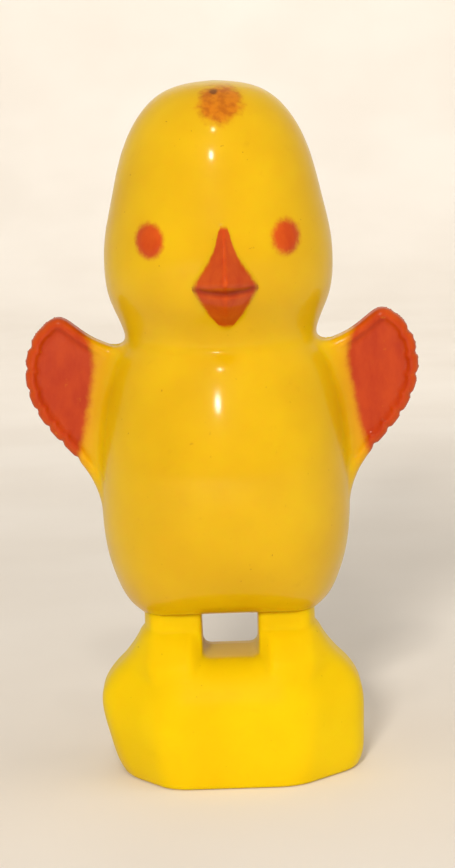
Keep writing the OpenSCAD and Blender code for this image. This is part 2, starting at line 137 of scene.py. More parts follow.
def common(a, b, blend):
    """What two solids share, with the edge between them rounded."""
    return -join(-a, -b, blend)


def fade(x, start, end):
    """0 before start, 1 after end, and smooth between."""
    t = np.clip((x - start) / (end - start), 0, 1)
    return t * t * (3 - 2 * t)


def carve(name, solid, low, high, step):
    """A closed mesh of the space where solid(x, y, z) is below zero. Sizes are in millimetres."""
    axes = [np.arange(a - 2 * step, b + 3 * step, step) for a, b in zip(low, high)]
    field = solid(*np.meshgrid(*axes, indexing="ij", sparse=True))
    inside = field < 0
    total, hits, quads = np.zeros((field.size, 3)), np.zeros(field.size), []
    for axis in range(3):
        ahead = np.roll(inside, -1, axis)
        found = np.argwhere(inside != ahead)
        found = found[(found > 0).all(1) & (found < np.array(field.shape) - 1).all(1)]
        after = found.copy()
        after[:, axis] += 1
        a, b = field[tuple(found.T)], field[tuple(after.T)]
        crossing = found.astype(float)
        crossing[:, axis] += a / (a - b)
        corners = []
        for back_u, back_v in ((0, 0), (1, 0), (1, 1), (0, 1)):
            cell = found.copy()
            cell[:, (axis + 1) % 3] -= back_u
            cell[:, (axis + 2) % 3] -= back_v
            corners.append(np.ravel_multi_index(cell.T, field.shape))
            np.add.at(total, corners[-1], crossing)
            np.add.at(hits, corners[-1], 1)
        quad = np.stack(corners, 1)
        quad[a > 0] = quad[a > 0][:, ::-1]
        quads.append(quad)
    used, faces = np.unique(np.concatenate(quads), return_inverse=True)
    points = np.array([axis[0] for axis in axes]) + step * total[used] / hits[used, None]
    reach = 0.02
    for _ in range(3):
        x, y, z = points.T
        here = solid(x, y, z)
        slope = np.stack([solid(x + reach, y, z) - solid(x - reach, y, z),
                          solid(x, y + reach, z) - solid(x, y - reach, z),
                          solid(x, y, z + reach) - solid(x, y, z - reach)], 1) / (2 * reach)
        move = -here[:, None] * slope / ((slope**2).sum(1)[:, None] + 1e-9)
        length = np.linalg.norm(move, axis=1)[:, None]
        points += move * np.minimum(1, 0.4 * step / (length + 1e-9))
    mesh = bpy.data.meshes.new(name)
    mesh.from_pydata((points * MM).tolist(), [], faces.reshape(-1, 4).tolist())
    mesh.shade_smooth()
    mesh.set_sharp_from_angle(angle=radians(48))
    piece = bpy.data.objects.new(name, mesh)
    bpy.context.scene.collection.objects.link(piece)
    return piece, points


# Head and torso are round, with a smooth waist at the neck, and the chest falls back towards it.
side_line = spline(
    [(head_r * share, neck + height * (crown - neck)) for share, height in
     [(0, 1), (0.24, 0.989), (0.454, 0.955), (0.667, 0.862), (0.819, 0.721), (0.924, 0.533),
      (0.988, 0.391), (1, 0.297), (0.96, 0.156), (0.862, 0.047)]]
    + [(torso_r * share, height) for share, height in
       [(0.768, neck - 0.2), (0.828, 46.6), (0.917, 43.4), (0.975, 39), (1, 33.5), (0.997, 28.5),
        (0.96, 24.6), (0.894, 21.7), (0.80, 19.4), (0.715, rim + 0.35)]], 260)
half_outline = np.concatenate([side_line, [[torso_r * 0.66, rim], [torso_r * 0.4, rim]]])
round_outline = distance_to(np.concatenate([half_outline, half_outline[::-1] * [-1, 1]]), 0.08)


def depth_share(y, z):
    """How deep the body is, front to back, as a share of its width."""
    front = along_z(z, (17, 1), (26, 1), (33, 0.998), (37, 0.985), (41.5, 0.925), (44, 0.882), (45.7, 0.852),
                    (46.6, 0.835), (47.4, 0.826), (48.3, 0.842), (49.2, 0.862), (50.6, 0.9), (52, 0.945),
                    (54, 0.985), (56, 1), (62, 1), (77, 1))
    back = along_z(z, (17, 1), (26, 1), (36, 1), (44, 0.96), (48.4, 0.95), (54, 1), (62, 1), (77, 1))
    return front + (back - front) * fade(y, -3, 3)


def body(x, y, z):
    """Round from above, and curved under towards the legs at front and back."""
    half_depth = along_z(z, (16.5, 3.0), (18, 5.4), (19.2, 7.6), (20.6, 9.4), (22.5, 11.15), (24.5, 12.45),
                         (27, 13.6), (30, 15.2), (33, 18), (77, 60))
    return common(round_outline(np.hypot(x, y / depth_share(y, z)), z), (abs(y) - half_depth) * 0.75, 2.4)


# A wing is a flat paddle, dished in front inside a raised rim, with a scalloped outer edge.
wing_outline = spline(
    [(5, 42), (8.5, 46.2), (11.5, 47.5), (13.9, 48.5), (16.0, 50.0), (17.7, 50.9), (19.2, 50.2),
     (wing_tip - 0.9, 48.2), (wing_tip - 0.25, 45.9), (wing_tip - 0.35, 43), (20.2, 40.2),
     (18.2, 37.5), (15.7, 34.7), (13.2, 31.3), (9, 29.5), (5, 33)], 320, closed=True)
wing_edge = distance_to(wing_outline)
scallops = 11


def scalloped(x, z):
    """Distance from the wing's outer edge, which is nicked between shallow scallops."""
    turn = np.arctan2(z - 43.5, abs(x) - 13) / pi
    outer = fade(turn, -0.44, -0.36) * (1 - fade(turn, 0.18, 0.3))
    nick = 0.5 + 0.5 * np.cos(turn * scallops * 2 * pi + np.where(x > 0, 0.0, 1.4))
    return wing_edge(abs(x), z) + 0.24 * outer * nick**6


def wings(x, y, z):
    edge = scalloped(x, z)
    out = fade(abs(x), 10, 20)
    dish = fade(-edge, 0.75, 1.5) * fade(abs(x), 12.2, 14.6)
    front = 2.0 - 0.45 * out - 0.42 * dish
    back = 2.0 - 0.45 * out - 0.15 * dish
    thick = front + (back - front) * fade(y, -0.5, 0.5)
    paddle = common(edge, abs(y) - thick, 1.1)
    flash = np.maximum(edge - 0.13, abs(y) - 0.13)
    return np.minimum(paddle, flash)


# The beak stands out from the face: a narrow ridge that widens into two facets, an undercut
# and a mouth line, and a shorter lower half.
beak_x = 0.62
ridge_height = [(49.2, 0), (49.9, 0), (50.6, 0.55), (51.5, 1.4), (52.6, 2.1), (53.4, 2.35), (53.9, 2.3),
                (54.35, 2.75), (54.8, 3.35), (55.2, 3.5), (56, 2.95), (57.2, 2.0), (58.6, 1.2),
                (60, 0.65), (60.7, 0.2), (61.1, 0), (62, 0)]
half_width = [(49, 0.3), (50, 0.5), (50.6, 1.0), (51.5, 1.75), (52.5, 2.35), (53.5, 2.95), (54.4, 3.4),
              (55, 3.2), (56, 2.55), (57, 1.85), (58, 1.3), (59, 0.9), (60, 0.65), (61, 0.35), (62, 0.3)]


def beak_rise(x, z):
    across = abs(x - beak_x) / np.interp(z, *zip(*half_width))
    rise = np.interp(z, *zip(*ridge_height)) * np.clip(1.06 - across, 0, 1)
    mouth = 54.05 + 0.35 * np.clip(across, 0, 1) ** 2
    groove = 0.34 * np.exp(-(((z - mouth) / 0.28) ** 2)) * (1 - fade(across, 0.75, 1))
    return rise - groove


eye_x, eye_z = 7.15, 59.5
eye_half = (1.55, 1.95)


def eye_rise(x, z):
    off = ((abs(x) - eye_x) / eye_half[0]) ** 2 + ((z - eye_z) / eye_half[1]) ** 2
    return 0.26 * (1 - fade(off, 0.15, 1.05))


def tail(x, y, z):
    """A blunt stub, a little wider than it is tall, that leans up and back."""
    lean_up, lean_back = 0.259, 0.966
    along = (y - 8) * lean_back + (z - 24.6) * lean_up
    across = (z - 24.6) * lean_back - (y - 8) * lean_up
    size = 4.3 - 0.29 * along
    sides = (np.hypot(x * 0.92, across * 1.08) - size) * 0.93
    return common(sides, abs(along - 3.8) - 5.0, 2.0)


def figure(x, y, z):
    """The whole outside of the chick above the feet."""
    solid = body(x, y, z)
    front = fade(-y, 2, 5)
    rise = (beak_rise(x, z) + eye_rise(x, z)) * front
    solid = solid - rise
    solid = join(solid, wings(x, y, z), 1.5)
    return join(solid, tail(x, y, z), 1.6)


def bar(x, z, at, radius):
    """A round bar along Y."""
    return np.hypot(x - at[0], z - at[1]) - radius


leg_half_gap, leg_reach, leg_half_depth = 3.1, 9.45, 4.2


def leg_column(x, y, grow, blend):
    """The upright stretch of both legs, grown by a distance."""
    inner = leg_half_gap - grow - abs(x)
    outer = np.hypot(x, y) - leg_reach - grow
    faces = abs(y) - leg_half_depth - grow
    return common(common(inner, outer, blend), faces, blend)


pegs = [(side * x, z) for side in (-1, 1) for x, z in ((10.3, 58), (11.1, 41))]
screws = [(-8.3, 37.5), (8.3, 37.5), (-0.8, 27)]
bush_at = (0, 39)


def hollow_body(x, y, z):
    """The shells before they are parted: the figure with the hollow and the leg openings cut out."""
    skin = body(x, y, z) + shell_wall
    skin = np.maximum(skin, rim + shell_wall + 0.1 - z)
    legs = np.maximum(leg_column(x, y, 0.15, 0.3), z - rim - 3)
    arch = common(abs(x) - 2.4, z - rim - 0.5, 0.4)
    return np.maximum(np.maximum(figure(x, y, z), -skin), -np.minimum(legs, arch))


def front_half(x, y, z):
    solid = hollow_body(x, y, z)
    for at in pegs:
        boss = np.maximum(bar(x, z, at, 1.3), np.maximum(-3.5 - y, body(x, y, z) + 0.4))
        solid = np.minimum(solid, boss)
    solid = common(solid, y + join_gap, 0.12)
    for at in pegs:
        peg = np.maximum(bar(x, z, at, 0.6), np.maximum(-0.5 - y, y - 1.5))
        solid = np.minimum(solid, peg)
    return solid


def back_half(x, y, z):
    solid = hollow_body(x, y, z)
    inner = body(x, y, z) + 0.4
    for at in pegs:
        solid = np.minimum(solid, np.maximum(bar(x, z, at, 1.3), np.maximum(y - 3.5, inner)))
    for at in screws:
        solid = np.minimum(solid, np.maximum(bar(x, z, at, 1.6), np.maximum(5.6 - y, inner)))
    solid = common(solid, join_gap - y, 0.12)
    for at in pegs:
        solid = np.maximum(solid, -np.maximum(bar(x, z, at, 0.66), y - 1.8))
    for at in screws:
        solid = np.maximum(solid, -np.maximum(bar(x, z, at, 0.5), y - 8.6))
    return np.maximum(solid, -np.maximum(bar(x, z, bush_at, 2.0), 6 - y))


shell_step = 0.24
front_shell, front_points = carve("front_shell_moulding", front_half,
                                  (front_low.x, front_low.y - 0.4, rim), (wing_tip, 1.6, crown), shell_step)
back_shell, back_points = carve("back_shell_moulding", back_half,
                                (back_low.x, -0.1, rim), (wing_tip, back_high.y, crown), shell_step)
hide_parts("front_shell")
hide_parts("back_shell")


# Orange was dabbed on by hand: wing ends, beak, eyes and a tuft on the brow. What the brush covered
# is marked on the mouldings as millimetres inside the edge of the paint.

def mark(piece, name, values):
    piece.data.attributes.new(name, "FLOAT", "POINT").data.foreach_set("value", values.astype(np.float32))


def paint_edges(piece, points, on_front):
    x, y, z = points.T
    front = on_front * fade(-y, 3, 5) * 20 - 20 * (1 - on_front)
    border = along_z(z, (28, 17), (34, 15.9), (37, 15.1), (40.6, 14.3), (44, 13.7), (47, 13.6),
                     (50, 14.7), (52, 15.6))
    wing = abs(x) - border + np.where(x > 0, 0, -0.25)
    wing = np.where(y < 1.0, wing, np.minimum(wing, 0.9 + scalloped(x, z)))
    # Distance inside the wing's rim, for the lighter rim: partly thinner paint, partly a painted glow of
    # light through the thin edge.
    wing_rim = np.where(abs(x) > 12, 0.95 + scalloped(x, z), -9)
    across = abs(x - beak_x) / np.interp(z, *zip(*half_width))
    beak = np.minimum((1.03 - across) * 2.5, np.minimum(z - 50.1, 60.9 - z))
    beak = np.where(front > 1, beak, -9)
    eye = 1 - np.hypot((abs(x) - eye_x) / eye_half[0], (z - eye_z) / eye_half[1])
    eye = np.where(front > 1, eye * np.where(x > 0, 0.95, 1.2) + 0.08, -9)
    tuft = 1 - np.hypot((x - 0.7) / 2.55, (z - 73.7) / np.where(z > 73.7, 1.9, 2.6))
    tuft = np.where(y < -1, tuft * 2.4, -9)
    mark(piece, "wing_paint", wing)
    mark(piece, "wing_rim", wing_rim)
    mark(piece, "face_paint", np.maximum(beak, eye))
    mark(piece, "tuft_paint", tuft)
    # Mark for painted shade: a dark band along the crease where the upper and lower beak meet.
    mouth = 54.05 + 0.35 * np.clip(across, 0, 1) ** 2
    mouth_shade = np.where(across < 1.05, 0.62 - abs(z - mouth), -9)
    mark(piece, "mouth_shade_mask", np.where(front > 1, mouth_shade, -9))
    spot = 0.62 - np.hypot(x - 0.05, (z - 74.75) * 1.5)
    mark(piece, "brow_spot", np.where(y < 0, spot, -9))


paint_edges(front_shell, front_points, 1)
paint_edges(back_shell, back_points, 0)


class Surface:
    """A material that is built up node by node."""

    def __init__(self, name):
        self.material = bpy.data.materials.new(name)
        self.material.use_nodes = True
        self.tree = self.material.node_tree
        self.tree.nodes.clear()
        self.shader = self.add("ShaderNodeBsdfPrincipled")
        output = self.add("ShaderNodeOutputMaterial")
        self.tree.links.new(self.shader.outputs[0], output.inputs[0])
        self.place = self.add("ShaderNodeTexCoord").outputs["Object"]

    def add(self, kind, *inputs, **settings):
        node = self.tree.nodes.new(kind)
        for key, value in settings.items():
            setattr(node, key, value)
        for socket, value in zip(node.inputs, inputs):
            self.put(socket, value)
        return node

    def put(self, socket, value):
        if isinstance(value, bpy.types.NodeSocket):
            self.tree.links.new(value, socket)
        elif value is not None:
            socket.default_value = value

    def attribute(self, name):
        return self.add("ShaderNodeAttribute", attribute_name=name).outputs["Fac"]

    def math(self, operation, a, b=0.0, clamp=False):
        return self.add("ShaderNodeMath", a, b, operation=operation, use_clamp=clamp).outputs[0]

    def noise(self, size, detail=3.0, rough=0.5, stretch=(1, 1, 1), shift=(0, 0, 0)):
        """Noise with blotches of about that size in millimetres, spread around a half."""
        scaled = self.add("ShaderNodeMapping", self.place, shift, (0, 0, 0), stretch).outputs[0]
        node = self.add("ShaderNodeTexNoise")
        self.put(node.inputs["Vector"], scaled)
        self.put(node.inputs["Scale"], 1 / (size * MM))
        self.put(node.inputs["Detail"], detail)
        self.put(node.inputs["Roughness"], rough)
        return node.outputs["Fac"]

    def ramp(self, value, low, high):
        """0 at low, 1 at high and smooth between."""
        node = self.add("ShaderNodeMapRange", value, low, high, interpolation_type="SMOOTHSTEP")
        return node.outputs[0]

    def mix(self, share, a, b):
        node = self.add("ShaderNodeMix", data_type="RGBA")
        self.put(node.inputs["Factor"], share)
        self.put(node.inputs["A"], a)
        self.put(node.inputs["B"], b)
        return node.outputs["Result"]

    def set(self, **inputs):
        for name, value in inputs.items():
            self.put(self.shader.inputs[name.replace("_", " ")], value)

    def bump(self, height, strength, distance, before=None):
        node = self.add("ShaderNodeBump")
        self.put(node.inputs["Strength"], strength)
        self.put(node.inputs["Distance"], distance * MM)
        self.put(node.inputs["Height"], height)
        self.put(node.inputs["Normal"], before)
        return node.outputs[0]


def rgb(red, green, blue):
    """A colour as a printed swatch shows it, 0 to 255, as the shader wants it."""
    swatch = np.array([red, green, blue]) / 255
    linear = np.where(swatch <= 0.04045, swatch / 12.92, ((swatch + 0.055) / 1.055) ** 2.4)
    return (*linear, 1)


def yellow_plastic(name, painted):
    """Glossy yellow plastic that lets a little light in, with rubbed spots, dust, scratches and paint."""
    s = Surface(name)
    cloud = s.noise(9, 2, 0.5)
    clear, dense = (rgb(208, 168, 5), rgb(200, 158, 4)) if painted else (rgb(220, 186, 8), rgb(213, 177, 6))
    colour = s.mix(s.ramp(cloud, 0.3, 0.75), dense, clear)
    grime = s.ramp(s.noise(2.6, 6, 0.65), 0.60, 0.82)
    colour = s.mix(s.math("MULTIPLY", grime, 0.16), colour, rgb(150, 104, 12))
    specks = s.ramp(s.noise(0.55, 2, 0.5, shift=(0.01, 0.02, 0)), 0.735, 0.79)
    colour = s.mix(s.math("MULTIPLY", specks, 0.55), colour, rgb(120, 72, 15))
    roughness = s.math("ADD", 0.3, s.math("MULTIPLY", s.noise(4, 4, 0.6), 0.1))
    thickness = s.math("MULTIPLY", grime, 0.25)
    if painted:
        ragged = s.math("MULTIPLY", s.math("SUBTRACT", s.noise(0.9, 4, 0.6), 0.5), 0.75)
        fine = s.math("MULTIPLY", s.math("SUBTRACT", s.noise(0.5, 3, 0.6), 0.5), 0.4)
        strokes = s.noise(1.6, 4, 0.6, (1, 1, 0.45))
        wing = s.ramp(s.math("ADD", s.attribute("wing_paint"), ragged), -0.35, 0.75)
        worn = s.ramp(s.noise(1.3, 5, 0.65, shift=(0.3, 0, 0)), 0.62, 0.72)
        wing = s.math("MULTIPLY", wing, s.math("SUBTRACT", 1.0, s.math("MULTIPLY", worn, 0.18)))
        face = s.ramp(s.math("ADD", s.attribute("face_paint"), fine), -0.12, 0.42)
        tuft_noise = s.math("MULTIPLY", s.math("SUBTRACT", s.noise(1.3, 4, 0.6), 0.5), 2.2)
        tuft = s.ramp(s.math("ADD", s.attribute("tuft_paint"), tuft_noise), -0.3, 0.9)
        thin = s.ramp(s.math("ADD", s.attribute("wing_paint"), ragged), -2.6, 0.2)
        colour = s.mix(s.math("MULTIPLY", thin, 0.32), colour, rgb(194, 94, 7))
        orange = s.mix(s.ramp(strokes, 0.2, 0.8), rgb(156, 40, 3), rgb(174, 58, 8))
        # Lighter orange on the wing rims: partly thinner paint there, partly a painted glow standing in for
        # light shining through the thin plastic edge.
        rim_thin_paint_and_glow = s.ramp(s.math("ADD", s.attribute("wing_rim"), ragged), -0.1, 0.9)
        orange = s.mix(s.math("MULTIPLY", rim_thin_paint_and_glow, 0.3), orange, rgb(200, 92, 10))
        colour = s.mix(wing, colour, orange)
        colour = s.mix(face, colour, s.mix(s.ramp(strokes, 0.2, 0.8), rgb(172, 55, 7), rgb(188, 74, 10)))
        dabs = s.mix(s.ramp(s.noise(0.8, 4), 0.35, 0.65), rgb(160, 58, 5), rgb(190, 96, 8))
        colour = s.mix(s.math("MULTIPLY", tuft, 0.78), colour, dabs)
        # Painted shade: dark red along the mouth crease of the beak, where shadow falls between the two
        # halves.
        mouth_shade = s.ramp(s.attribute("mouth_shade_mask"), 0.0, 0.6)
        colour = s.mix(s.math("MULTIPLY", mouth_shade, 0.6), colour, rgb(118, 18, 6))
        spot = s.ramp(s.math("ADD", s.attribute("brow_spot"), fine), 0.0, 0.4)
        colour = s.mix(s.math("MULTIPLY", spot, 0.75), colour, rgb(84, 48, 16))
        cover = s.math("MAXIMUM", wing, face)
        roughness = s.math("ADD", roughness, s.math("MULTIPLY", cover, 0.12))
        s.put(s.shader.inputs["Subsurface Weight"], s.math("SUBTRACT", 0.75, s.math("MULTIPLY", cover, 0.55)))
        thickness = s.math("ADD", thickness, s.math("MULTIPLY", cover, 0.5))
        thickness = s.math("ADD", thickness, s.math("MULTIPLY", s.math("MULTIPLY", cover, strokes), 0.3))
    else:
        s.set(Subsurface_Weight=0.75)
    scratches = s.ramp(s.noise(1.2, 5, 0.7, (6, 6, 0.6)), 0.66, 0.7)
    normal = s.bump(s.noise(3.2, 2, 0.5), 0.25, 0.10)
    normal = s.bump(thickness, 0.5, 0.05, normal)
    normal = s.bump(scratches, 0.12, -0.03, normal)
    s.set(Base_Color=colour, Roughness=roughness, Normal=normal, Subsurface_Radius=(1.0, 0.62, 0.12),
          Subsurface_Scale=1.6 * MM, IOR=1.42, Specular_IOR_Level=0.12 if painted else 0.06,
          Coat_Weight=0.36 if painted else 0.0, Coat_Roughness=0.11)
    return s.material


painted_plastic = yellow_plastic("painted_yellow_plastic", True)
for shell in (front_shell, back_shell):
    shell.data.materials.append(painted_plastic)
    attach(shell, "body")

# ---- Feet ----------------------------------------------------------------------------------
# Both legs and both feet are one hollow moulding of the same yellow plastic. The legs slide up
# through the two openings under the body, and a glued plate closes the block from below.

foot_low, foot_high = (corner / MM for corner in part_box("foot_block"))
foot_half = foot_high.x
foot_levels = [  # height, half width, half the front face, front, back, corner, lean of the side at -X
    (-0.5, foot_half - 1.2, 6.8, -foot_low.y - 0.35, foot_high.y - 0.35, 3.2, 1.75),
    (1.2, foot_half - 0.35, 7.1, -foot_low.y - 0.05, foot_high.y - 0.05, 3.3, 1.55),
    (4, foot_half - 0.05, 7.4, -foot_low.y - 0.05, foot_high.y - 0.05, 3.4, 0.95),
    (6.5, foot_half, 7.5, -foot_low.y - 0.3, foot_high.y - 0.1, 3.5, 0.4),
    (9.6, foot_half - 0.35, 7.4, -foot_low.y - 1.1, foot_high.y - 0.7, 3.5, 0),
    (11.4, foot_half - 1.35, 7.2, -foot_low.y - 2.1, foot_high.y - 1.4, 3.4, 0),
    (13.2, foot_half - 3.1, 6.8, -foot_low.y - 3.3, foot_high.y - 2.3, 3.2, 0),
    (15.0, foot_half - 5.0, 6.2, -foot_low.y - 5.1, foot_high.y - 3.6, 2.8, 0),
    (16.4, foot_half - 6.4, 5.6, -foot_low.y - 7.5, foot_high.y - 5.4, 2.2, 0)]
foot_floor, foot_top = 0, 15.3
saddle_z, saddle_fall = 13.4, 0.156     # floor of the window between the legs, and its fall to the back


def foot_outline(x, y, z, inset=0.0):
    """Eight-sided section of the block at each height, with its upright edges eased."""
    level = [row[0] for row in foot_levels]
    side, face, front, back, corner, lean = (
        along_z(z, *zip(level, [row[k] for row in foot_levels])) for k in range(1, 7))
    side = side - lean * fade(-x, 2, 8)
    x = abs(x)
    solid = common(x - side + inset, common(-y - front, y - back, 1.4) + inset, 1.4)
    for edge, reach in ((-y, front), (y, back)):
        run, rise = side - face, reach - corner
        chamfer = ((x - face) * rise + (edge - reach) * run) / np.hypot(run, rise) + inset
        solid = common(solid, chamfer, 1.6)
    return solid * 0.85


def foot_moulding(x, y, z):
    block = common(foot_outline(x, y, z), z - foot_top - 0.4, 1.2)
    block = common(block, foot_floor - z, 0.5)
    saddle = saddle_z - saddle_fall * np.maximum(y - 2, 0) - z
    window = common(abs(x) - leg_half_gap, saddle, 1.1 + 1.3 * fade(-y, 4, 7))
    block = common(block, -window, 1.2 + 1.4 * fade(-y, 2, 6))
    spread = np.maximum(16.2 - z, 0)            # the legs widen into the block in soft ridges
    legs = leg_column(x, np.sign(y) * np.maximum(abs(y) - 0.62 * spread, 0), 0, 0.9) * 0.85
    legs = np.maximum(legs, np.maximum(10.5 - z, z - foot_high.z))
    fillet = 2.6 * fade(z, 10.4, 13.5) * fade(-z, -17.6, -15.5) * fade(abs(x), 3.2, 4.6)
    solid = join(block, legs, fillet + 0.05)
    flange = np.maximum(abs(abs(x) - 5.1) - 1.9, np.maximum(abs(y) - 5.1, abs(z - 19.95) - 0.65))
    hollow = np.maximum(foot_outline(x, y, z, 1.35), z - 10.4)
    pocket = np.maximum(np.hypot(abs(x) - 6.1, y - 0.9) - 1.6, 15.6 - z)
    screw_hole = np.maximum(np.hypot(abs(x) - 5.1, y + 2.6) - 0.45, 17.6 - z)
    solid = np.minimum(solid, flange)
    return np.maximum(np.maximum(solid, -hollow), np.maximum(-pocket, -screw_hole))


def sole(x, y, z):
    """The glued plate, with a shallow recess and four round marks where it was pushed from its mould."""
    plate = np.maximum(foot_outline(x, y, z * 0, 1.42), abs(z - 0.6) - 0.6)
    recess = np.maximum(foot_outline(x, y, z * 0, 2.6), z - 0.18)
    pads = np.maximum(np.hypot(abs(x) - 8.0, abs(y + 0.7) - 3.6) - 1.5, -z)
    return np.maximum(plate, -np.maximum(recess, -pads))


plain_plastic = yellow_plastic("yellow_plastic", False)
foot_corner = (-foot_half, foot_low.y, 0)
foot_block, _ = carve("foot_moulding", foot_moulding,
                      foot_corner, (foot_half, foot_high.y, foot_high.z), shell_step)
sole_plate, _ = carve("sole_cover", sole, foot_corner, (foot_half, foot_high.y, 1.2), shell_step)
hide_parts("foot_block")
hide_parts("sole_plate")
for piece in (foot_block, sole_plate):
    piece.data.materials.append(plain_plastic)
    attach(piece, "feet")

# ---- Key and bush --------------------------------------------------------------------------
# The key is a figure-of-eight of nickel-plated sheet in a turned socket, pushed on the winding arbor.
# It turns in a flanged brass bush that is set in the back of the body.

key_low, key_high = (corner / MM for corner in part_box("winding_key"))
arbor_z = (key_low.z + key_high.z) / 2
lobe_r = (key_high.x - 0.4) / 2
lobe_y = key_high.y - lobe_r
socket_end = key_low.y + 4.1


def key(x, y, z):
    z = z - arbor_z
    side = abs(x)
    lobes = np.hypot(side - lobe_r - 0.4, y - lobe_y) - lobe_r
    stem = np.maximum(side - 2.2, np.maximum(key_low.y + 1 - y, y - lobe_y - 1.4))
    outline = join(lobes, stem, 1.6)
    punched = np.hypot(side - lobe_r - 0.9, y - lobe_y) - 1.7
    rolled = 0.16 * np.exp(-(((outline + 0.55) / 0.35) ** 2))
    blade = common(np.maximum(outline, -punched), abs(z) - 0.36 - rolled, 0.3)
    round_bar = np.hypot(x, z)
    waist = 1.9 - 0.22 * np.exp(-(((y - key_low.y - 2) / 0.45) ** 2))
    socket = common(round_bar - waist, np.maximum(key_low.y - y, y - socket_end), 0.35)
    bore = np.maximum(round_bar - 1.1, y - socket_end + 1)
    return np.maximum(join(blade, socket, 0.3), -bore)


def nickel_plate():
    s = Surface("nickel_plate")
    dull = s.noise(3.0, 5, 0.6)
    worn = s.ramp(s.noise(1.6, 6, 0.7), 0.60, 0.72)
    colour = s.mix(s.ramp(dull, 0.35, 0.7), (0.62, 0.60, 0.56, 1), (0.78, 0.77, 0.74, 1))
    colour = s.mix(s.math("MULTIPLY", worn, 0.5), colour, (0.55, 0.42, 0.22, 1))
    hairlines = s.noise(0.6, 6, 0.7, (0.2, 8, 8))
    s.set(Base_Color=colour, Metallic=1.0, Roughness=s.math("ADD", 0.16, s.math("MULTIPLY", dull, 0.26)),
          Normal=s.bump(hairlines, 0.12, 0.02, s.bump(s.noise(2.2, 2), 0.2, 0.05)))
    return s.material


key_step = 0.11
winding_key, _ = carve("butterfly_key", key, key_low, key_high, key_step)
winding_key.data.materials.append(nickel_plate())
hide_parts("winding_key")
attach(winding_key, "winding")


def metal(name, light, dark, rough, grain=(1, 1, 1), stain=None):
    """Sheet or turned metal: cloudy colour, fine grain from rolling or turning, and a little tarnish."""
    s = Surface(name)
    cloud = s.noise(2.5, 5, 0.6)
    colour = s.mix(s.ramp(cloud, 0.35, 0.68), dark, light)
    tarnish = s.ramp(s.noise(1.2, 6, 0.7), 0.58, 0.75)
    colour = s.mix(s.math("MULTIPLY", tarnish, 0.55), colour, stain or dark)
    lines = s.noise(0.25, 4, 0.65, grain)
    s.set(Base_Color=colour, Metallic=1.0, Roughness=s.math("ADD", rough, s.math("MULTIPLY", cloud, 0.2)),
          Normal=s.bump(lines, 0.25, 0.02))
    return s.material


brass = metal("brass", (0.80, 0.57, 0.25, 1), (0.60, 0.40, 0.15, 1), 0.22, (1, 1, 1), (0.32, 0.18, 0.06, 1))


def turned(name, at, profile, sides=96):
    """A piece turned about an axis along Y, from (y, radius) points of its closed section."""
    mesh = bpy.data.meshes.new(name)
    rings = len(profile)
    points = [((at[0] + r * cos(a)) * MM, y * MM, (at[1] + r * sin(a)) * MM)
              for a in (2 * pi * k / sides for k in range(sides)) for y, r in profile]
    faces = [(k * rings + i, k * rings + (i + 1) % rings,
              (k + 1) % sides * rings + (i + 1) % rings, (k + 1) % sides * rings + i)
             for k in range(sides) for i in range(rings)]
    mesh.from_pydata(points, [], faces)
    mesh.shade_smooth()
    mesh.set_sharp_from_angle(angle=radians(35))
    piece = bpy.data.objects.new(name, mesh)
    bpy.context.scene.collection.objects.link(piece)
    return piece


bush_low, bush_high = (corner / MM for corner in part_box("arbor_bush"))
flange_r = bush_high.x
bush_bore = 1.14
barrel_r = 2.0
shoulder = bush_high.y - 0.5
bush = turned("brass_bush", bush_at, [
    (bush_low.y, bush_bore + 0.1), (bush_low.y, barrel_r - 0.12), (bush_low.y + 0.12, barrel_r),
    (shoulder, barrel_r), (shoulder, flange_r - 0.06), (shoulder + 0.06, flange_r),
    (bush_high.y - 0.18, flange_r),
    (bush_high.y - 0.05, flange_r - 0.14), (bush_high.y, flange_r - 0.4), (bush_high.y, bush_bore + 0.3),
    (bush_high.y - 0.05, bush_bore + 0.12), (bush_high.y - 0.18, bush_bore), (bush_low.y + 0.1, bush_bore)])
bush.data.materials.append(brass)
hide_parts("arbor_bush")
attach(bush, "body")

# ---- Springs that throw the feet down --------------------------------------------------------
# Two coils of blued wire with closed ends. Each stands in a pocket on top of a leg and pushes
# against the steel bridge of the movement. In the toy a coil shortens as the feet rise; here each
# is made at one length and moves with the feet.

blued_steel = metal("blued_steel", (0.11, 0.14, 0.22, 1), (0.05, 0.06, 0.10, 1), 0.25,
                    stain=(0.16, 0.10, 0.05, 1))
spring_low, spring_high = (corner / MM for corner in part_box("thrust_springs"))
wire_r = 0.17
coil_r = (spring_high.y - spring_low.y) / 2 - wire_r
spring_x = spring_high.x - coil_r - wire_r
spring_y = (spring_high.y + spring_low.y) / 2


def coil(name, x):
    """A wound wire: close turns at both ends and open turns between them."""
    turns, per_turn, around = 7, 28, 10
    rings = turns * per_turn
    height = spring_high.z - spring_low.z - 2 * wire_r
    points, faces = [], []
    for i in range(rings + 1):
        share = i / rings
        closed = fade(np.array(share), 0.13, 0.87) * 0.78 + share * 0.22
        angle = 2 * pi * i / per_turn
        for k in range(around):
            tilt = 2 * pi * k / around
            r = coil_r + wire_r * cos(tilt)
            points.append(((x + r * cos(angle)) * MM, (spring_y + r * sin(angle)) * MM,
                           (spring_low.z + wire_r + height * float(closed) + wire_r * sin(tilt)) * MM))
    for i in range(rings):
        for k in range(around):
            a, b = i * around + k, i * around + (k + 1) % around
            faces.append((a, b, b + around, a + around))
    faces += [tuple(range(around))[::-1], tuple(rings * around + k for k in range(around))]
    mesh = bpy.data.meshes.new(name)
    mesh.from_pydata(points, [], faces)
    mesh.shade_smooth()
    piece = bpy.data.objects.new(name, mesh)
    bpy.context.scene.collection.objects.link(piece)
    piece.data.materials.append(blued_steel)
    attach(piece, "feet")
    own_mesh(piece)
    return piece


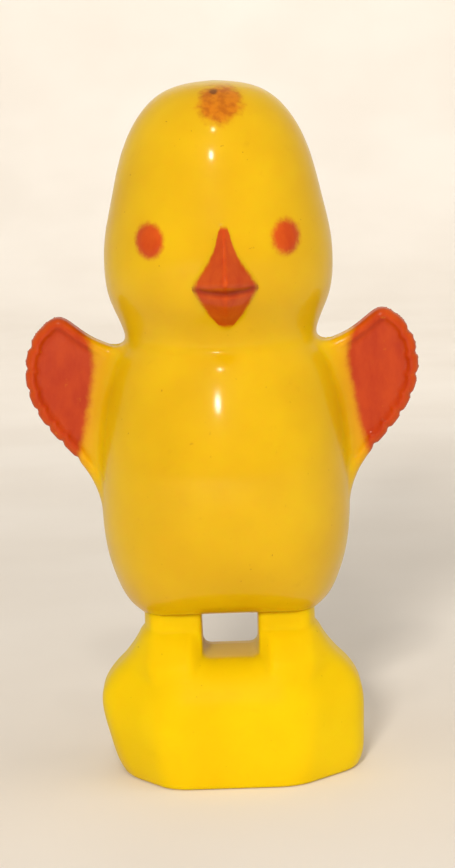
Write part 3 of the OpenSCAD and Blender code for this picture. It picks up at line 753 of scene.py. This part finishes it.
springs = [coil("thrust_spring_right", -spring_x), coil("thrust_spring_left", spring_x)]
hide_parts("thrust_springs")

# ---- Clockwork -------------------------------------------------------------------------------
# Stamped brass wheels on turned steel arbors run between two tinned steel plates. Springs, pins and
# the lifting work are steel. They keep their own shapes, and each gets the finish of its stock.

tinned_steel = metal("tinned_steel", (0.66, 0.66, 0.64, 1), (0.48, 0.48, 0.47, 1), 0.28,
                     (6, 1, 0.4), (0.30, 0.24, 0.18, 1))
turned_steel = metal("turned_steel", (0.56, 0.56, 0.57, 1), (0.36, 0.36, 0.38, 1), 0.2,
                     (1, 8, 1), (0.22, 0.16, 0.11, 1))
stock = {"brass": brass, "tinned_steel": tinned_steel, "turned_steel": turned_steel,
         "spring_steel": blued_steel}
for part in frame["record"]["subparts"]:
    node = frame["nodes"][part["node"]]
    if part["material_slot"] in stock and not node.hide_render:
        node.data.materials.clear()
        node.data.materials.append(stock[part["material_slot"]])

# ---- Table, light and camera -------------------------------------------------------------------
# A pale sheet lies on the table and curves up well behind. Soft light comes from all round, with a
# lamp at the left front, a broad one at the right and one on the sheet behind. Two small lamps
# overhead give the bright points on brow and chest.

def paper():
    s = Surface("pale_paper")
    colour = s.mix(s.ramp(s.noise(60, 3), 0.3, 0.7), rgb(229, 221, 210), rgb(235, 228, 218))
    s.set(Base_Color=colour, Roughness=0.85, Normal=s.bump(s.noise(1.5, 4), 0.08, 0.1))
    return s.material


width, near, wall_y, curve_r, height = 2.2, -0.9, 0.75, 0.22, 1.2
section = [(near, 0)] + [(wall_y - curve_r + curve_r * sin(a), curve_r - curve_r * cos(a))
                         for a in np.linspace(0, pi / 2, 24)] + [(wall_y, height)]
sheet = bpy.data.meshes.new("backdrop")
sheet.from_pydata([(side * width / 2, y, z) for y, z in section for side in (-1, 1)], [],
                  [(2 * i, 2 * i + 1, 2 * i + 3, 2 * i + 2) for i in range(len(section) - 1)])
sheet.shade_smooth()
backdrop = bpy.data.objects.new("backdrop", sheet)
bpy.context.scene.collection.objects.link(backdrop)
sheet.materials.append(paper())

middle = Vector((0, 0, crown / 2 * MM))


def aimed(piece, azimuth, elevation, distance, target=middle, roll=0.0):
    """Places something on a sphere round a point and looks at it. Azimuth 0 is straight in front."""
    a, e = radians(azimuth), radians(elevation)
    away = Vector((sin(a) * cos(e), -cos(a) * cos(e), sin(e)))
    piece.location = target + away * distance
    piece.rotation_mode = "QUATERNION"
    piece.rotation_quaternion = Quaternion(away, radians(roll)) @ away.to_track_quat("Z", "Y")
    bpy.context.scene.collection.objects.link(piece)


def lamp(name, place, size, power, colour, shines=True):
    light = bpy.data.lights.new(name, "AREA")
    light.shape = "DISK"
    light.size = size
    light.energy = power
    light.color = colour
    piece = bpy.data.objects.new(name, light)
    aimed(piece, *place)
    piece.visible_glossy = shines


lamp("left_lamp", (-10, 19, 0.9), 0.13, 6.7, (1.0, 0.95, 0.88), shines=False)
lamp("right_lamp", (72, 22, 1.3), 1.3, 5.0, (1.0, 0.95, 0.88), shines=False)
lamp("backdrop_lamp", (0, 42, 0.5, Vector((0, wall_y, 0.1))), 0.5, 1.1, (1.0, 0.985, 0.96), shines=False)
lamp("overhead_lamp", (-5, 37, 0.6), 0.042, 0.5, (1.0, 0.96, 0.9))
lamp("small_overhead_lamp", (-2, 55.5, 0.6), 0.022, 0.15, (1.0, 0.96, 0.9))

world = bpy.data.worlds.new("soft_room")
bpy.context.scene.world = world
world.use_nodes = True
sky = world.node_tree.nodes["Background"]
sky.inputs["Color"].default_value = (1.0, 0.985, 0.96, 1)
sky.inputs["Strength"].default_value = 0.41

camera = bpy.data.cameras.new("camera")
camera.sensor_width = 36
camera.lens = 98                # long enough to keep the toy's sides nearly straight on
camera.clip_start = 0.01
camera_object = bpy.data.objects.new("camera", camera)
aimed(camera_object, 0, 8, 0.26, roll=-1.84)
camera.shift_x = 0.0043
camera.shift_y = -0.0058
bpy.context.scene.camera = camera_object
bpy.context.scene.view_settings.view_transform = "Standard"
